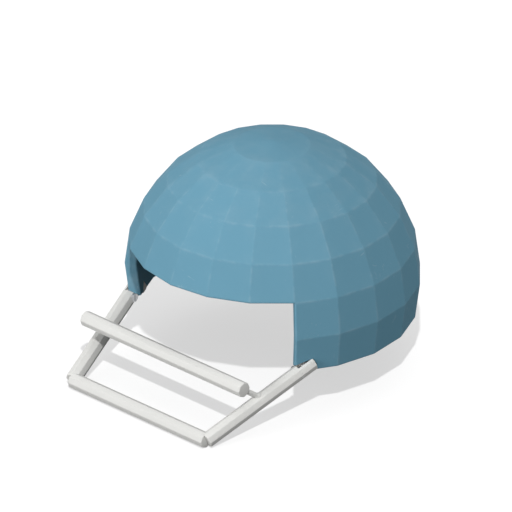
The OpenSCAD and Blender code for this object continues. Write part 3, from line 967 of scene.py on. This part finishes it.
def stitches(piece, zone):
    """Thread along every channel: short spindles, six-sided and fullest in the middle, that lie
    on the sewn cover a step apart."""
    half = half_sizes(zone)
    seats, ways = [], []
    cover = BVHTree.FromObject(piece, bpy.context.evaluated_depsgraph_get())
    for line in channels(zone):
        reach = half[1] - STITCH_END
        if zone is None:
            reach = math.sqrt(max(half[0] ** 2 - line ** 2, 0)) - STITCH_END
        for up in np.arange(-reach, reach, STITCH_STEP):
            ends = place_in_zone(zone, np.full(2, line), np.array([up, up + STITCH]), 0.0)
            ways_out = [Vector(end).normalized() for end in ends]
            hits = [cover.ray_cast(way * SEARCH_FROM, way) for way in ways_out]
            if all(hit[0] is not None for hit in hits):
                seats.append((np.array(hits[0][0]) + np.array(hits[1][0])) / 2)
                ways.append(np.array(hits[1][0]) - np.array(hits[0][0]))
    seats, ways = np.array(seats), np.array(ways)
    up = seats / np.linalg.norm(seats, axis=1, keepdims=True)
    side = np.cross(ways, up)
    side /= np.linalg.norm(side, axis=1, keepdims=True)
    turn = (np.arange(6) * math.pi / 3)[None, None, :, None]
    along = np.array([-0.5, -0.38, 0, 0.38, 0.5])
    full = np.array([0.0001, 0.00026, 0.00033, 0.00026, 0.0001])
    circle = np.cos(turn) * side[:, None, None] + np.sin(turn) * up[:, None, None]
    points = (seats - THREAD_SINK * up)[:, None, None] + along[None, :, None, None] * ways[:, None, None]
    points = points + full[None, :, None, None] * circle
    each = [tuple(f) for f in grid_faces(5, 6, close_columns=True)]
    each += [tuple(range(6)), tuple(range(24, 30))]
    faces = [tuple(np.array(face) + 30 * number) for number in range(len(seats)) for face in each]
    return points.reshape(-1, 3), faces


def join_to(piece, points, faces, material):
    """Adds a closed surface to a piece's mesh with a material of its own."""
    extra = surface_object("extra", points, faces)
    extra.data.materials.append(material)
    bpy.ops.object.select_all(action="DESELECT")
    extra.select_set(True)
    piece.select_set(True)
    bpy.context.view_layer.objects.active = piece
    bpy.ops.object.join()


material, nodes, shader, place = new_material("spacer_knit")
loops = nodes.cells(place, 620, randomness=0.25)
hole = nodes.ramp(loops, 0.20, 0.42, 1.0, 0.0)
yarn = nodes.noise(place, 2400, detail=2)
slow = nodes.noise(place, 35, detail=3)
knit = nodes.mix(nodes.ramp(yarn, 0.3, 0.7), (0.060, 0.065, 0.072, 1), (0.105, 0.112, 0.122, 1))
knit = nodes.mix(nodes.ramp(slow, 0.4, 0.75, 0.0, 0.45), knit, (0.135, 0.142, 0.150, 1))
knit = nodes.mix(nodes.math("MULTIPLY", hole, 0.8), knit, (0.012, 0.013, 0.015, 1))
nodes.feed(shader["Base Color"], knit)
nodes.feed(shader["Roughness"], nodes.ramp(yarn, 0.3, 0.7, 0.78, 0.95))
weave = nodes.math("SUBTRACT", nodes.math("MULTIPLY", yarn, 0.35), hole)
nodes.feed(shader["Normal"], nodes.bump(weave, 0.7, 0.0005))
shader["Sheen Weight"].default_value = 0.25
shader["Sheen Roughness"].default_value = 0.5
shader["Specular IOR Level"].default_value = 0.2
spacer_knit = material

material, nodes, shader, place = new_material("piping_cord")
strand = nodes.noise(place, 1800, detail=2)
nodes.feed(shader["Base Color"], nodes.mix(nodes.ramp(strand, 0.3, 0.7), (0.020, 0.021, 0.024, 1),
                                           (0.050, 0.052, 0.057, 1)))
nodes.feed(shader["Roughness"], nodes.ramp(strand, 0.3, 0.7, 0.6, 0.85))
nodes.feed(shader["Normal"], nodes.bump(strand, 0.6, 0.0003))
piping_cord = material

material, nodes, shader, place = new_material("pad_thread")
strand = nodes.noise(place, 2600, detail=1)
nodes.feed(shader["Base Color"], nodes.mix(nodes.ramp(strand, 0.3, 0.7), (0.20, 0.22, 0.25, 1),
                                           (0.34, 0.36, 0.39, 1)))
nodes.feed(shader["Roughness"], nodes.ramp(strand, 0.3, 0.7, 0.45, 0.7))
nodes.feed(shader["Normal"], nodes.bump(strand, 0.5, 0.0002))
pad_thread = material

for name, (zone, foam) in zones.items():
    base = foam + SOFT_GAP
    shares, insets, heights = block_profile(base, PAD_START, PAD_EDGE, crown=PAD_CROWN)
    pad = block(name + "_comfort_pad", zone, PAD_CORNER, shares, insets + PAD_INSET, heights)
    applied(pad, "REMESH", mode="VOXEL", voxel_size=VOXEL)
    applied(pad, "SMOOTH", factor=0.5, iterations=5)
    height = spread_of(zone, coordinates(pad))[2]
    blow_up(pad, height < base + GLUED_HEIGHT)
    applied(pad, "SUBSURF", levels=2, render_levels=2)
    sew_down(pad, zone, base)
    soften(pad, 60)
    pad.data.materials.append(spacer_knit)
    join_to(pad, *stitches(pad, zone), pad_thread)
    join_to(pad, *piping(zone, base), piping_cord)
    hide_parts(name + "_pad")
    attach(pad, "helmet")

# ---------------------------------------------------------------------------------------------
# Hardware: zinc-plated steel hinge plates moulded into the jaw corners, pivot screws, the studs
# that hold the foam, and the dowels in the guard's corners, as the frame has them.
material, nodes, shader, place = new_material("zinc_plated_steel")
brushed = nodes.noise(nodes.stretched(place, (300, 4000, 300)), 1.0, detail=2)
cloudy = nodes.noise(place, 160, detail=3)
nodes.feed(shader["Base Color"], nodes.mix(nodes.ramp(cloudy, 0.35, 0.7), (0.52, 0.53, 0.55, 1),
                                           (0.66, 0.67, 0.68, 1)))
nodes.feed(shader["Roughness"], nodes.ramp(brushed, 0.25, 0.75, 0.28, 0.46))
nodes.feed(shader["Normal"], nodes.bump(brushed, 0.25, 0.00005))
shader["Metallic"].default_value = 1.0
zinc_steel = material
for name in ("left_hinge_plate", "right_hinge_plate", "left_pivot_screw", "right_pivot_screw",
             "foam_studs", "corner_dowels"):
    for place_for_material in frame["nodes"][name].material_slots:
        place_for_material.material = zinc_steel

# ---------------------------------------------------------------------------------------------
# Friction washers: natural nylon, turned from sheet, one on each side of each hinge plate. They
# are clamped by the pivot screws and hold the guard at its height.
material, nodes, shader, place = new_material("natural_nylon")
turned = nodes.noise(nodes.stretched(place, (5000, 500, 500)), 1.0, detail=1)
cloudy = nodes.noise(place, 200, detail=2)
nodes.feed(shader["Base Color"], nodes.mix(nodes.ramp(cloudy, 0.3, 0.7), (0.58, 0.57, 0.52, 1),
                                           (0.68, 0.67, 0.62, 1)))
nodes.feed(shader["Roughness"], nodes.ramp(turned, 0.3, 0.7, 0.42, 0.6))
nodes.feed(shader["Normal"], nodes.bump(turned, 0.2, 0.00004))
for place_for_material in frame["nodes"]["friction_washers"].material_slots:
    place_for_material.material = material
